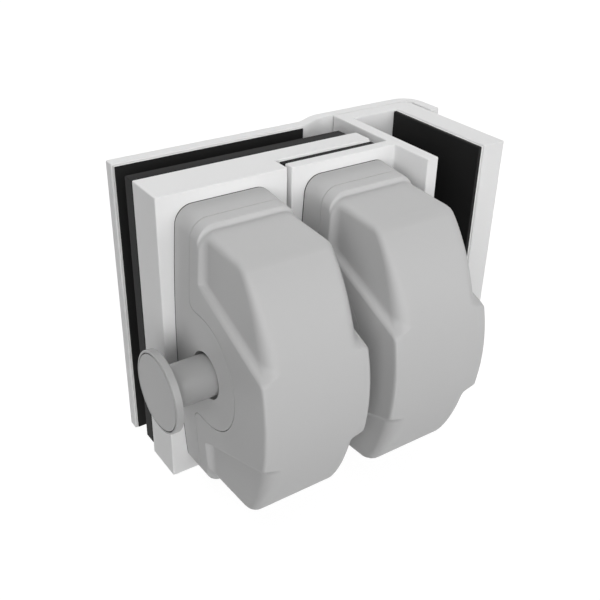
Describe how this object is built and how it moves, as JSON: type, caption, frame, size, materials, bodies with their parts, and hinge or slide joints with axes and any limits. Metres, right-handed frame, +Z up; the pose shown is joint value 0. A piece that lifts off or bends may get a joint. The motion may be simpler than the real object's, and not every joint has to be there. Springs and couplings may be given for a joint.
{
  "type": "shower door latch",
  "caption": "Glass shower door latch: door glass clamp and return glass bracket, each with a rounded housing, joined by a sprung pull bolt.",
  "frame": {"origin": "centre of the inner gasket's face that bears on the door glass, midway between the two clamp bolts", "axes": "+Y through the door glass from the inner gasket to the outer pad, +X from the door half towards the return half, +Z up"},
  "size_m": [0.1344, 0.0885, 0.1],
  "materials": {
    "white_metal": "satin",
    "grey_shell": "satin",
    "grey_knob": "satin",
    "black_rubber": "matte",
    "white_tape": "matte",
    "white_plastic": "satin",
    "steel": "satin"
  },
  "bodies": {
    "clamps_and_housings": {"door_clamp_block": "white_metal", "door_gasket": "black_rubber", "outer_plate": "white_metal", "outer_tape": "white_tape", "outer_gasket": "black_rubber", "stop_tape": "white_tape", "stop_rubber": "black_rubber", "clamp_bolts": "steel", "glass_sleeves": "white_plastic", "plate_inserts": "steel", "latch_base": "grey_shell", "latch_cover": "grey_shell", "latch_screws": "steel", "bolt_spring": "steel", "spring_seat": "steel", "guide_bush": "white_plastic", "return_bracket": "white_metal", "return_tape": "white_tape", "return_gasket": "black_rubber", "clamp_plate": "steel", "clamp_rubber": "black_rubber", "set_screws": "steel", "strike_base": "grey_shell", "strike_cover": "grey_shell", "strike_screws": "steel", "strike_cup": "steel"},
    "puller": {"pull_knob": "grey_knob", "knob_face": "grey_knob", "latch_bolt": "steel"}
  },
  "joints": [
    {"name": "bolt_pull", "type": "slide", "parent": "clamps_and_housings", "child": "puller", "axis": [-1, 0, 0], "range_m": [0, 0.0135], "stiffness_N_per_m": 400, "springref_m": -0.012, "deforming": ["bolt_spring"]}
  ]
}
